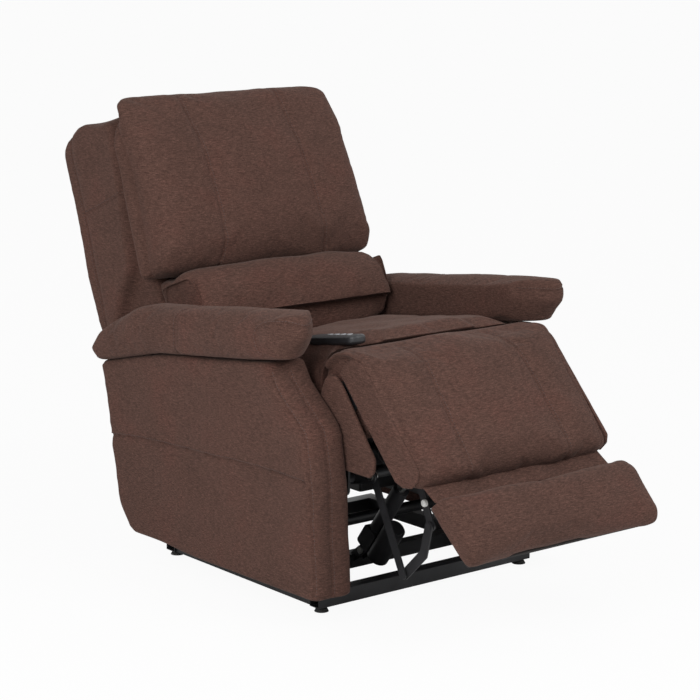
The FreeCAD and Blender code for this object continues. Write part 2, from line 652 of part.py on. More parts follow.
def control_box():
    """Power supply box that hangs from the rear cross tube, with a bare inlet at its back."""
    top = SEAT_REAR_TUBE[1] - CROSS_R
    box = Part.makeBox(130.0, 72.0, 46.0, V(84.0, SEAT_REAR_TUBE[0] - 20.0, top - 46.0))
    box = box.makeFillet(6.0, [e for e in box.Edges if abs(e.tangentAt(e.FirstParameter).z) > 0.9])
    inlet = Part.makeCylinder(7.0, 12.0, V(189.0, SEAT_REAR_TUBE[0] + 40.1, top - 23.0), V(0, 1, 0))
    return box.cut(inlet)


def save(name, shapes):
    solids = []
    for shape in shapes if isinstance(shapes, list) else [shapes]:
        solids.extend(shape.Solids)
    whole = solids[0] if len(solids) == 1 else Part.makeCompound(solids)
    moved = whole.copy()
    moved.translate(V(0, ORIGIN_Y, 0))
    moved.exportStep("parts/" + name + ".step")


def both_sides(name, shape):
    save(name + "_right", shape)
    save(name + "_left", mirrored(shape))


def pair(shapes):
    return shapes + [mirrored(shape) for shape in shapes]


def build():
    os.makedirs("parts", exist_ok=True)
    save("base_front_tube", base_cross_tube(BASE_FRONT_Y))
    middle_tube = (BASE_MID_Y + TUBE / 2.0, TUBE_Z + TUBE / 2.0)
    lugs = lug_pair(LIFT_MOTOR_PIVOT, middle_tube, LIFT_MOTOR_X, TUBE / 2.0)
    save("base_middle_tube", welded(base_cross_tube(BASE_MID_Y), lugs))
    save("base_rear_tube", base_cross_tube(BASE_REAR_Y - TUBE))
    both_sides("base_rail", base_rail())
    both_sides("lift_bracket", lift_bracket())
    save("levelling_feet", feet())
    base_pins = pair([pin(LIFT_PIVOT, LIFT_ARM_X, RAIL_INNER_X), pin(GUIDE_PIVOT, GUIDE_LINK_X, RAIL_INNER_X)])
    save("base_pivot_pins", base_pins + [motor_pin(LIFT_MOTOR_PIVOT, LIFT_MOTOR_X)])

    both_sides("lift_arm", lift_arm())
    save("lift_torque_tube", round_tube(torque_point(), LIFT_ARM_X))
    both_sides("guide_link", guide_link())

    both_sides("seat_side_plate", seat_side_plate())
    both_sides("knee_hanger", knee_hanger())
    ends = SIDE_PLATE_X + SIDE_PLATE_T
    save("seat_frame_pins", pair([pin(LIFT_ARM_END, SIDE_PLATE_X, LIFT_ARM_X + LIFT_ARM_T),
                                  pin(GUIDE_END, SIDE_PLATE_X, GUIDE_LINK_X + GUIDE_LINK_T),
                                  pin(FRONT_LINK_TOP, FRONT_LINK_X, LINK_BRACKET_X + PLATE_T),
                                  pin(BACK_HINGE, BACK_PLATE_X, ends),
                                  disc(KNEE, PIN_R, CUSHION_HALF - 30.0, CUSHION_HALF + 4.0)]))
    lugs = lug_pair(LIFT_ROD_PIVOT, SEAT_FRONT_TUBE, LIFT_MOTOR_X, CROSS_R, True)
    bore = disc(SEAT_FRONT_TUBE, CROSS_R - CROSS_WALL, -SIDE_PLATE_X, SIDE_PLATE_X)
    brackets = [ear.cut(bore) for ear in pair([link_bracket()])]
    save("seat_front_tube", welded(round_tube(SEAT_FRONT_TUBE, SIDE_PLATE_X), lugs + brackets))
    lugs = lug_pair(LEG_MOTOR_PIVOT, SEAT_REAR_TUBE, LEG_MOTOR_X, CROSS_R)
    lugs += lug_pair(BACK_MOTOR_PIVOT, SEAT_REAR_TUBE, BACK_MOTOR_X, CROSS_R)
    save("seat_rear_tube", welded(round_tube(SEAT_REAR_TUBE, SIDE_PLATE_X), lugs))
    save("seat_deck", seat_deck())
    save("seat_cushion", seat_cushion())
    both_sides("seat_cheek", seat_cheek())
    both_sides("arm_panel", arm_panel())
    both_sides("arm_pad", arm_pad())
    save("control_box", control_box())

    save("back_shell", back_shell())
    both_sides("back_hinge_plate", back_hinge_plate())
    lugs = lug_pair(BACK_ROD_PIVOT, BACK_TUBE, BACK_MOTOR_X, CROSS_R, True)
    save("back_cross_tube", welded(round_tube(BACK_TUBE, BACK_PLATE_X), lugs))
    save("lumbar_cushion", lumbar_cushion())
    save("head_pillow", head_pillow())

    save("leg_pad", leg_pad())
    save("leg_board", leg_board())
    save("leg_rails", pair([leg_rail()]))
    save("leg_drive", leg_drive())
    save("leg_rail_pins", pair([pin(FLAP_HINGE, FLAP_RAIL_X, LEG_RAIL_X + LINK_T)]))
    save("flap_pad", flap_pad())
    save("flap_board", flap_board())
    save("flap_rails", pair([flap_rail()]))
    save("front_links", pair([front_link()]))
    save("dog_links", pair([dog_link()]))

    save("lift_motor", motor_housing(LIFT_MOTOR_PIVOT, LIFT_ROD_PIVOT, LIFT_MOTOR_X, False, 0.87))
    save("lift_rod", motor_rod(LIFT_MOTOR_PIVOT, LIFT_ROD_PIVOT, LIFT_MOTOR_X, 0.0))
    save("leg_motor", motor_housing(LEG_MOTOR_PIVOT, LEG_ROD_PIVOT, LEG_MOTOR_X, False, 0.68))
    save("leg_rod", motor_rod(LEG_MOTOR_PIVOT, LEG_ROD_PIVOT, LEG_MOTOR_X, LEG_RETRACT))
    save("back_motor", motor_housing(BACK_MOTOR_PIVOT, BACK_ROD_PIVOT, BACK_MOTOR_X, False, 0.6))
    save("back_rod", motor_rod(BACK_MOTOR_PIVOT, BACK_ROD_PIVOT, BACK_MOTOR_X, BACK_RETRACT))

    save("handset", handset_body())
    for number, y in enumerate(button_spots(), 1):
        save("handset_button_%d" % number, handset_button(y))


build()
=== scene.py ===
import json
import math

import bmesh
import bpy
import numpy as np
from mathutils import Matrix, Vector, noise
from mathutils.bvhtree import BVHTree


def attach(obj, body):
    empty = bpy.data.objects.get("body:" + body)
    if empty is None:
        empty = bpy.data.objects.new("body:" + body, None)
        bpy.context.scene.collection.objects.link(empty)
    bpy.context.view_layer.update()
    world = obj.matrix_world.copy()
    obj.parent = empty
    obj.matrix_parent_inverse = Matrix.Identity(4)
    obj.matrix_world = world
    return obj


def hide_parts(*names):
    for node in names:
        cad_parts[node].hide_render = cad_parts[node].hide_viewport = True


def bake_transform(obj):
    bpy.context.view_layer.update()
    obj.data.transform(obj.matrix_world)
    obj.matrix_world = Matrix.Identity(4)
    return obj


# Lift recliner chair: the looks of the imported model. Metres; the sitter faces -Y.

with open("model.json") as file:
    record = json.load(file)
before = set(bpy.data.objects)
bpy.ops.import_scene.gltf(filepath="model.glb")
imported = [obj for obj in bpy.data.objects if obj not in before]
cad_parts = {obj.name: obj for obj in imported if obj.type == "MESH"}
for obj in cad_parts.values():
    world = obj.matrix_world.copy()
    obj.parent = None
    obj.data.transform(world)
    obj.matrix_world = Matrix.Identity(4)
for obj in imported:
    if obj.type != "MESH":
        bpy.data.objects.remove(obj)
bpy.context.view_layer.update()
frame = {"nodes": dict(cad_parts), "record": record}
NODES = frame["nodes"]
scene = bpy.context.scene

# Places in side view are (y, z). The back is measured from its hinge: up along its lean,
# and out of it. Cushions lie against its face.
LEAN = math.radians(20.0)
BACK_HINGE = (0.369, 0.420)
BACK_FACE = 0.055
CUSHION_BASE = 0.052
# The footrest turns on the knee's axis; the seat cushion stays outside the socket's radius.
KNEE = (-0.345, 0.520)
KNEE_SOCKET = 0.1115
KNEE_HOLD = 0.120
# Directions along the raised calf and out of it.
CALF = (-0.6792, -0.7340)
CALF_OUT = (-0.7340, 0.6792)
# Half the width between the arms that seat and chaise pad may fill.
PAD_HALF = 0.2825
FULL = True


def back_at(x, up, forward):
    """A place on the leaning back: up along it and forward out of it, from its hinge."""
    return Vector((x, BACK_HINGE[0] + up * math.sin(LEAN) - forward * math.cos(LEAN),
                   BACK_HINGE[1] + up * math.cos(LEAN) + forward * math.sin(LEAN)))


def back_line(*places):
    return [back_at(*place) for place in places]


def on_back(co):
    """How far up the leaning back, and how far out of it, each point lies from the hinge."""
    y = co[:, 1] - BACK_HINGE[0]
    z = co[:, 2] - BACK_HINGE[1]
    return y * math.sin(LEAN) + z * math.cos(LEAN), -y * math.cos(LEAN) + z * math.sin(LEAN)


def rise(values, start, span):
    """0 up to the start and 1 from the span on."""
    return np.clip((values - start) / span, 0, 1)


def fall(values, start, span):
    """0 above the start and 1 from the span below it."""
    return np.clip((start - values) / span, 0, 1)


# Meshes

def add_object(name, mesh):
    obj = bpy.data.objects.new(name, mesh)
    scene.collection.objects.link(obj)
    return obj


def positions(mesh):
    co = np.empty(len(mesh.vertices) * 3)
    mesh.vertices.foreach_get("co", co)
    return co.reshape(-1, 3)


def normals(mesh):
    co = np.empty(len(mesh.vertices) * 3)
    mesh.vertices.foreach_get("normal", co)
    return co.reshape(-1, 3)


def set_positions(mesh, co):
    mesh.vertices.foreach_set("co", np.ascontiguousarray(co, dtype=float).ravel())
    mesh.update()


def bake(obj):
    """Replace the object's mesh by the one that its modifiers give."""
    graph = bpy.context.evaluated_depsgraph_get()
    mesh = bpy.data.meshes.new_from_object(obj.evaluated_get(graph))
    obj.modifiers.clear()
    old = obj.data
    obj.data = mesh
    bpy.data.meshes.remove(old)
    mesh.name = obj.name


def remesh(obj, voxel):
    grid = obj.modifiers.new("grid", "REMESH")
    grid.mode = "VOXEL"
    grid.voxel_size = voxel
    bake(obj)


def relax(obj, rounds):
    even = obj.modifiers.new("even", "SMOOTH")
    even.factor = 0.5
    even.iterations = rounds
    bake(obj)


def from_faces(name, verts, faces, merge=None, outward=False, smooth=False):
    """An object from points and faces; it can merge equal points and turn its faces outward."""
    mesh = bpy.data.meshes.new(name)
    mesh.from_pydata([tuple(v) for v in verts], [], faces)
    if outward:
        work = bmesh.new()
        work.from_mesh(mesh)
        if merge is not None:
            bmesh.ops.remove_doubles(work, verts=work.verts, dist=merge)
        bmesh.ops.recalc_face_normals(work, faces=work.faces)
        work.to_mesh(mesh)
        work.free()
    for polygon in mesh.polygons:
        polygon.use_smooth = smooth
    return add_object(name, mesh)


def soft_copy(node, name, voxel):
    """A closed, evenly meshed copy of a soft CAD node."""
    mesh = NODES[node].data.copy()
    mesh.materials.clear()
    work = bmesh.new()
    work.from_mesh(mesh)
    bmesh.ops.remove_doubles(work, verts=work.verts, dist=0.00002)
    work.to_mesh(mesh)
    work.free()
    obj = add_object(name, mesh)
    remesh(obj, voxel)
    relax(obj, rounds=4)
    return obj


LINE_STEP = 0.006


def smooth_line(points):
    """Even points on a smooth curve through the given ones."""
    pts = [Vector(p) for p in points]
    pts = [pts[0] * 2 - pts[1]] + pts + [pts[-1] * 2 - pts[-2]]
    out = []
    for i in range(1, len(pts) - 2):
        a, b, c, d = pts[i - 1:i + 3]
        count = max(2, int((c - b).length / LINE_STEP))
        for k in range(count):
            t = k / count
            out.append(0.5 * ((2 * b) + (c - a) * t + (2 * a - 5 * b + 4 * c - d) * t * t
                              + (3 * b - a - 3 * c + d) * t ** 3))
    out.append(pts[-2])
    return out


def tree_of(obj):
    mesh = obj.data
    faces = [p.vertices[:] for p in mesh.polygons]
    return BVHTree.FromPolygons([v.co.copy() for v in mesh.vertices], faces)


def lay_on(obj, lines):
    """Each line drawn onto the object's surface."""
    tree = tree_of(obj)
    laid = []
    for line in lines:
        laid.append([tree.find_nearest(p)[0] for p in smooth_line(line)])
    return laid


def distance_to(co, lines):
    """Distance of every point from the nearest of the lines."""
    best = np.full(len(co), 1.0)
    for line in lines:
        pts = np.array([list(p) for p in line])
        low, high = pts.min(0) - 0.05, pts.max(0) + 0.05
        near = np.where(np.all((co > low) & (co < high), axis=1))[0]
        if len(near) == 0:
            continue
        sub = co[near]
        for a, b in zip(pts[:-1], pts[1:]):
            ab = b - a
            t = np.clip(((sub - a) @ ab) / max(ab @ ab, 1e-12), 0, 1)
            d = np.linalg.norm(sub - a - t[:, None] * ab, axis=1)
            best[near] = np.minimum(best[near], d)
    return best


def sink(obj, lines, depth, width):
    """Pull the surface in along the lines."""
    mesh = obj.data
    co = positions(mesh)
    d = distance_to(co, lines)
    set_positions(mesh, co - normals(mesh) * (depth * np.exp(-(d / width) ** 2))[:, None])


# Width of the painted shade band along each seam.
SEAM_WIDTH = 0.0024


def mark(obj, lines):
    """Store how near each point is to a seam, for the painted shade that darkens the seam grooves.
    """
    mesh = obj.data
    d = distance_to(positions(mesh), lines) if lines else np.full(len(mesh.vertices), 1.0)
    layer = mesh.attributes.get("seam") or mesh.attributes.new("seam", "FLOAT", "POINT")
    layer.data.foreach_set("value", np.exp(-(d / SEAM_WIDTH) ** 2).astype(np.float32))


def ruffle(obj, size, depth, seed, stretch=(1, 1, 1), keep=None):
    """Soft unevenness of stuffed cloth: slow noise along the normals."""
    mesh = obj.data
    co = positions(mesh)
    place = Vector((seed, seed * 1.7, 0))
    shift = np.array([noise.noise(Vector(p) / size + place) for p in co * stretch])
    if keep is not None:
        shift = shift * (1.0 - keep(co))
    set_positions(mesh, co + normals(mesh) * (shift * depth)[:, None])


PRESSURE = 4.0
SIM_FRAMES = 20


def inflate(obj, pinned, start_in, cap, loose):
    """Cloth under pressure: the pinned points stay, the rest swells by at most the cap.

    The cloth starts a little inside its mesh and may grow by the share named loose. A quick
    run leaves the mesh as it is.
    """
    if not FULL:
        return
    mesh = obj.data
    co = positions(mesh)
    weight = np.clip(pinned(co), 0.0, 1.0)
    set_positions(mesh, co - normals(mesh) * (start_in * (1.0 - weight))[:, None])
    start = positions(mesh).copy()
    group = obj.vertex_groups.new(name="held")
    for index in np.where(weight > 0.02)[0]:
        group.add([int(index)], float(weight[index]), "REPLACE")
    cloth = obj.modifiers.new("cloth", "CLOTH")
    settings = cloth.settings
    settings.quality = 5
    settings.mass = 0.3
    settings.tension_stiffness = 15
    settings.compression_stiffness = 15
    settings.shear_stiffness = 5
    settings.bending_stiffness = 0.5
    settings.use_pressure = True
    settings.uniform_pressure_force = PRESSURE
    settings.shrink_min = -loose
    settings.vertex_group_mass = "held"
    settings.effector_weights.gravity = 0
    cloth.point_cache.frame_start = 1
    cloth.point_cache.frame_end = SIM_FRAMES
    for number in range(1, SIM_FRAMES + 1):
        scene.frame_set(number)
    bake(obj)
    obj.vertex_groups.clear()
    mesh = obj.data
    move = positions(mesh) - start
    size = np.linalg.norm(move, axis=1)
    scale = np.minimum(1.0, cap / np.maximum(size, 1e-9))
    set_positions(mesh, start + move * scale[:, None])
    scene.frame_set(1)


def fence(obj, low, high):
    """Keep the mesh inside limits, so that it stays clear of its neighbours."""
    mesh = obj.data
    co = positions(mesh)
    for axis in range(3):
        if low[axis] is not None:
            co[:, axis] = np.maximum(co[:, axis], low[axis])
        if high[axis] is not None:
            co[:, axis] = np.minimum(co[:, axis], high[axis])
    set_positions(mesh, co)


def refine(obj):
    fine = obj.modifiers.new("fine", "SUBSURF")
    fine.levels = 1
    fine.render_levels = 1
    bake(obj)
    for polygon in obj.data.polygons:
        polygon.use_smooth = True


def mirrored_copy(obj, name):
    mesh = obj.data.copy()
    mesh.name = name
    mesh.transform(Matrix.Scale(-1, 4, (1, 0, 0)))
    mesh.flip_normals()
    return add_object(name, mesh)


STITCH_PITCH = 0.0078
STITCH_LENGTH = 0.0052
STITCH_RADIUS = 0.0008
STITCH_SIDES = 6
# Place along the thread, share of its radius and height over the cloth, in radii.
STITCH_RINGS = ((-0.5, 0.35, -0.5), (-0.3, 1.0, 0.35), (0.3, 1.0, 0.35), (0.5, 0.35, -0.5))


def stitches(name, obj, lines, offset):
    """Rows of short threads that lie on the surface beside each line."""
    tree = tree_of(obj)
    verts = []
    faces = []
    for line in lines:
        run = 0.0
        for a, b in zip(line[:-1], line[1:]):
            span = (b - a).length
            if span < 1e-6:
                continue
            while run < span:
                at = a.lerp(b, run / span)
                along = (b - a).normalized()
                spot, out, _, _ = tree.find_nearest(at)
                side = out.cross(along).normalized()
                spot, out, _, _ = tree.find_nearest(at + side * offset)
                side = out.cross(along).normalized()
                along = side.cross(out).normalized()
                base = len(verts)
                for t, r, height in STITCH_RINGS:
                    centre = spot + along * (t * STITCH_LENGTH) + out * (STITCH_RADIUS * height)
                    for k in range(STITCH_SIDES):
                        turn = math.tau * k / STITCH_SIDES
                        ray = side * math.cos(turn) + out * math.sin(turn)
                        verts.append(centre + ray * STITCH_RADIUS * r)
                last = len(verts) - STITCH_SIDES
                for low in range(base, last, STITCH_SIDES):
                    high = low + STITCH_SIDES
                    for k in range(STITCH_SIDES):
                        n = (k + 1) % STITCH_SIDES
                        faces.append((low + k, low + n, high + n, high + k))
                faces.append(tuple(base + k for k in reversed(range(STITCH_SIDES))))
                faces.append(tuple(last + k for k in range(STITCH_SIDES)))
                run += STITCH_PITCH
            run -= span
    return from_faces(name, verts, faces, smooth=True)


# Materials

def new_material(name):
    material = bpy.data.materials.new(name)
    material.use_nodes = True
    tree = material.node_tree
    return material, tree, tree.nodes["Principled BSDF"]


def add(tree, kind, **values):
    node = tree.nodes.new(kind)
    for key, value in values.items():
        if key in node.inputs:
            node.inputs[key].default_value = value
        else:
            setattr(node, key, value)
    return node


def ramp(tree, source, stops):
    node = add(tree, "ShaderNodeValToRGB")
    tree.links.new(source, node.inputs["Fac"])
    while len(node.color_ramp.elements) < len(stops):
        node.color_ramp.elements.new(0.5)
    for element, (place, colour) in zip(node.color_ramp.elements, stops):
        element.position = place
        element.color = (*colour, 1)
    return node.outputs["Color"]


def grey(value):
    return (value, value, value)


def multiply(tree, a, b):
    node = add(tree, "ShaderNodeMix", data_type="RGBA", blend_type="MULTIPLY")
    node.inputs[0].default_value = 1.0
    tree.links.new(a, node.inputs[6])
    tree.links.new(b, node.inputs[7])
    return node.outputs[2]


def chenille(name, light, dark, red):
    """Chenille: slubs that run across, slow mottling, a soft nap, and painted shade that darkens
    the seams.
    """
    material, tree, shader = new_material(name)
    link = tree.links.new
    where = add(tree, "ShaderNodeTexCoord")
    mottle = add(tree, "ShaderNodeTexNoise", Scale=7.0, Detail=4.0, Roughness=0.6)
    link(where.outputs["Object"], mottle.inputs["Vector"])
    base = ramp(tree, mottle.outputs["Fac"], [(0.30, dark), (0.52, light), (0.72, red)])
    slub_map = add(tree, "ShaderNodeMapping")
    slub_map.inputs["Scale"].default_value = (90, 90, 520)
    link(where.outputs["Object"], slub_map.inputs["Vector"])
    slub = add(tree, "ShaderNodeTexNoise", Scale=1.0, Detail=3.0, Roughness=0.65)
    link(slub_map.outputs["Vector"], slub.inputs["Vector"])
    slub_stops = [(0.25, grey(0.5)), (0.5, grey(0.98)), (0.78, grey(1.65))]
    slub_shade = ramp(tree, slub.outputs["Fac"], slub_stops)
    nap = add(tree, "ShaderNodeTexNoise", Scale=420.0, Detail=2.0, Roughness=0.7)
    link(where.outputs["Object"], nap.inputs["Vector"])
    nap_shade = ramp(tree, nap.outputs["Fac"], [(0.3, grey(0.68)), (0.7, grey(1.32))])
    # Painted shade: the colour falls to half along each seam, standing in for the shade in the seam
    # grooves.
    seam = add(tree, "ShaderNodeAttribute", attribute_name="seam")
    seam_painted_shade = ramp(tree, seam.outputs["Fac"], [(0.0, grey(1.0)), (1.0, grey(0.5))])
    colour = multiply(tree, multiply(tree, base, slub_shade), multiply(tree, nap_shade, seam_painted_shade))
    link(colour, shader.inputs["Base Color"])
    rough = add(tree, "ShaderNodeMapRange")
    rough.inputs["To Min"].default_value = 0.82
    rough.inputs["To Max"].default_value = 0.98
    link(slub.outputs["Fac"], rough.inputs["Value"])
    link(rough.outputs["Result"], shader.inputs["Roughness"])
    shader.inputs["Specular IOR Level"].default_value = 0.12
    shader.inputs["Sheen Weight"].default_value = 0.10
    shader.inputs["Sheen Roughness"].default_value = 0.45
    shader.inputs["Sheen Tint"].default_value = (0.75, 0.62, 0.56, 1)
    coarse = add(tree, "ShaderNodeBump", Strength=0.5, Distance=0.0016)
    link(slub.outputs["Fac"], coarse.inputs["Height"])
    fine = add(tree, "ShaderNodeBump", Strength=0.4, Distance=0.0008)
    link(nap.outputs["Fac"], fine.inputs["Height"])
    link(coarse.outputs["Normal"], fine.inputs["Normal"])
    link(fine.outputs["Normal"], shader.inputs["Normal"])
    return material


def powder_coat(name, colour, rough_low, rough_high, scale=650.0, bump=0.00015, metallic=0.0):
    """Painted or moulded surface with a fine orange-peel grain and slightly worn gloss."""
    material, tree, shader = new_material(name)
    link = tree.links.new
    where = add(tree, "ShaderNodeTexCoord")
    grain = add(tree, "ShaderNodeTexNoise", Scale=scale, Detail=2.0)
    link(where.outputs["Object"], grain.inputs["Vector"])
    wear = add(tree, "ShaderNodeTexNoise", Scale=18.0, Detail=5.0, Roughness=0.65)
    link(where.outputs["Object"], wear.inputs["Vector"])
    low = tuple(c * 0.8 for c in colour)
    high = tuple(min(1.0, c * 1.25) for c in colour)
    link(ramp(tree, wear.outputs["Fac"], [(0.3, low), (0.7, high)]), shader.inputs["Base Color"])
    rough = add(tree, "ShaderNodeMapRange")
    rough.inputs["To Min"].default_value = rough_low
    rough.inputs["To Max"].default_value = rough_high
    link(wear.outputs["Fac"], rough.inputs["Value"])
    link(rough.outputs["Result"], shader.inputs["Roughness"])
    shader.inputs["Metallic"].default_value = metallic
    peel = add(tree, "ShaderNodeBump", Strength=0.35, Distance=bump)
    link(grain.outputs["Fac"], peel.inputs["Height"])
    link(peel.outputs["Normal"], shader.inputs["Normal"])
    return material


LIGHT = (0.098, 0.051, 0.040)
DARK = (0.087, 0.046, 0.036)
RED = (0.108, 0.051, 0.040)
MAT = {
    "fabric": chenille("brown_chenille", LIGHT, DARK, RED),
    "thread": powder_coat("brown_thread", (0.085, 0.050, 0.042), 0.6, 0.8, 2500.0, 0.0002),
    "steel": powder_coat("black_coat", (0.022, 0.022, 0.024), 0.32, 0.5),
    "zinc": powder_coat("zinc_plate", (0.58, 0.58, 0.56), 0.24, 0.42, 900.0, 0.00008, 1.0),
    "plastic": powder_coat("black_plastic", (0.017, 0.017, 0.019), 0.36, 0.52, 1400.0, 0.0002),
    "button": powder_coat("grey_button", (0.40, 0.41, 0.43), 0.3, 0.42, 1200.0, 0.0001),
    "rubber": powder_coat("foot_rubber", (0.02, 0.02, 0.02), 0.7, 0.9, 800.0, 0.0003),
    "white": powder_coat("pale_bumper", (0.62, 0.62, 0.6), 0.35, 0.5, 700.0, 0.0001),
    "liner": powder_coat("dust_cloth", (0.030, 0.026, 0.025), 0.85, 0.98, 1500.0, 0.0006),
}

SLOT_MATERIAL = {
    "upholstery": "fabric",
    "black_steel": "steel",
    "zinc_steel": "zinc",
    "black_plastic": "plastic",
    "button_plastic": "button",
    "foot_rubber": "rubber",
    "board": "liner",
}
for entry in frame["record"]["subparts"]:
    node = NODES[entry["node"]]
    node.data.materials.clear()
    node.data.materials.append(MAT[SLOT_MATERIAL[entry["material_slot"]]])


def finish_piece(obj, body, material, slot, *nodes, fill=None):
    obj.data.materials.clear()
    obj.data.materials.append(MAT[material])
    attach(obj, body)
    if nodes:
        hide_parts(*nodes)


def finish_sides(obj, right_name, body, node=None, fill=None):
    """Finish a left-hand cloth piece and its mirrored copy."""
    for piece, side in ((obj, "left"), (mirrored_copy(obj, right_name), "right")):
        nodes = [node + side] if node else []
        finish_piece(piece, body, "fabric", "upholstery", *nodes, fill=fill)


def finish_thread(name, obj, lines, offset, body):
    thread = stitches(name, obj, lines, offset)
    finish_piece(thread, body, "thread", "upholstery")
    return thread


def held(*tests):
    """Pin weights from tests that each give 0 to 1 for an array of points."""
    def weights(co):
        total = np.zeros(len(co))
        for test in tests:
            total = np.maximum(total, test(co))
        return total
    return weights


def below(axis, value, soft):
    return lambda co: fall(co[:, axis], value + soft, soft)


def above(axis, value, soft):
    return lambda co: np.clip((co[:, axis] - value + soft) / soft, 0, 1)


PIN_WIDTH = 0.006


def near_lines(lines):
    return lambda co: np.exp(-(distance_to(co, lines) / PIN_WIDTH) ** 4)


def near_sides(co):
    """Pins the outermost part of a pad's width, at both its sides."""
    return rise(np.abs(co[:, 0]), 0.268, 0.008)


def against_back(co):
    """Pins the side of a cushion that lies against the back's front face."""
    soft = 0.012
    return fall(on_back(co)[1], BACK_FACE + soft, soft)


# Upholstery

def both(lines):
    return lines + [[(-p[0], p[1], p[2]) for p in line] for line in lines]


def bulge_from_back(obj, factor, share):
    """Move a cushion's front further out from the back, by a factor that varies up its height."""
    mesh = obj.data
    co = positions(mesh)
    up, out = on_back(co)
    grow = np.maximum(out - CUSHION_BASE, 0.0) * (factor - 1.0) * share(up)
    co[:, 1] -= grow * math.cos(LEAN)
    co[:, 2] += grow * math.sin(LEAN)
    set_positions(mesh, co)


def widen_rear(obj, amount, lowest=0.0):
    """Let a cushion's rear edge reach further out over the back than its face.

    This fades out towards the top of the back, where the edge is drawn in to a lip.
    """
    mesh = obj.data
    co = positions(mesh)
    up, out = on_back(co)
    share = fall(out, 0.10, 0.06) * rise(np.abs(co[:, 0]), 0.18, 0.10)
    share *= rise(co[:, 2], lowest, 0.03)
    share *= fall(up, 0.665, 0.06)
    co[:, 0] += np.sign(co[:, 0]) * amount * share
    lip = fall(out, 0.075, 0.05) * rise(up, 0.645, 0.03)
    co[:, 0] *= 1.0 - 0.16 * lip
    set_positions(mesh, co)


def make_head_pillow():
    obj = soft_copy("head_pillow", "pillow_head", voxel=0.009)
    front = back_line((-0.150, 0.705, 0.06), (-0.150, 0.690, 0.10), (-0.148, 0.60, 0.14),
                      (-0.148, 0.50, 0.16), (-0.150, 0.40, 0.16), (-0.156, 0.32, 0.16),
                      (-0.164, 0.262, 0.13))
    edge = back_line((-0.322, 0.27, 0.085), (-0.326, 0.40, 0.095), (-0.326, 0.55, 0.09),
                     (-0.322, 0.68, 0.065), (-0.31, 0.725, 0.045), (-0.20, 0.735, 0.05),
                     (0.0, 0.737, 0.05))
    lines = lay_on(obj, both([front]) + both([edge]))
    widen_rear(obj, amount=0.030)
    bulge_from_back(obj, factor=1.16, share=lambda up: fall(up, 0.70, 0.25))
    lines = lay_on(obj, lines)
    sink(obj, lines, depth=0.003, width=0.012)
    pins = held(against_back, near_lines(lines))
    inflate(obj, pins, start_in=0.001, cap=0.016, loose=0.003)
    ruffle(obj, size=0.10, depth=0.004, seed=3.1)
    refine(obj)
    lines = lay_on(obj, lines)
    sink(obj, lines, depth=0.0035, width=0.0045)
    mark(obj, lines)
    finish_thread("stitch_head", obj, lines[:2], 0.006, "back")
    finish_piece(obj, "back", "fabric", "upholstery", "head_pillow", fill=0.7)


UPRIGHT_TURN = math.radians(14.0)
CUSHION_SIDE = 0.294


def clear_when_upright(obj):
    """Lift the lumbar cushion's underside clear of seat and arm pads with the back upright."""
    mesh = obj.data
    co = positions(mesh)
    sine, cosine = math.sin(UPRIGHT_TURN), math.cos(UPRIGHT_TURN)
    dy, dz = co[:, 1] - BACK_HINGE[0], co[:, 2] - BACK_HINGE[1]
    y = BACK_HINGE[0] + dy * cosine - dz * sine
    z = BACK_HINGE[1] + dz * cosine + dy * sine
    outer = np.abs(co[:, 0]) > CUSHION_SIDE
    # The tops of the seat and of the arm pads, as straight slopes.
    seat_top = 0.637 - 0.152 * (y + 0.293)
    pad_top = 0.708 - 0.118 * (y + 0.131)
    need = np.maximum(0.0, np.where(outer, pad_top, seat_top) - z)
    need = np.where((y < 0.19) | outer, need, 0.0)
    co[:, 1] += need * sine
    co[:, 2] += need * cosine
    set_positions(mesh, co)


def make_lumbar():
    obj = soft_copy("lumbar_cushion", "pillow_lumbar", voxel=0.010)
    bulge_from_back(obj, factor=1.38, share=lambda up: 1.0 + 0.9 * fall(up, 0.24, 0.10))
    mesh = obj.data
    co = positions(mesh)
    co[:, 0] *= 1.035 + 0.085 * rise(co[:, 2], 0.705, 0.03)
    set_positions(mesh, co)
    widen_rear(obj, amount=0.022, lowest=0.71)
    inflate(obj, held(against_back), start_in=0.001, cap=0.016, loose=0.012)
    ruffle(obj, size=0.1, depth=0.005, seed=5.7)
    clear_when_upright(obj)
    refine(obj)
    mark(obj, [])
    finish_piece(obj, "back", "fabric", "upholstery", "lumbar_cushion", fill=0.6)


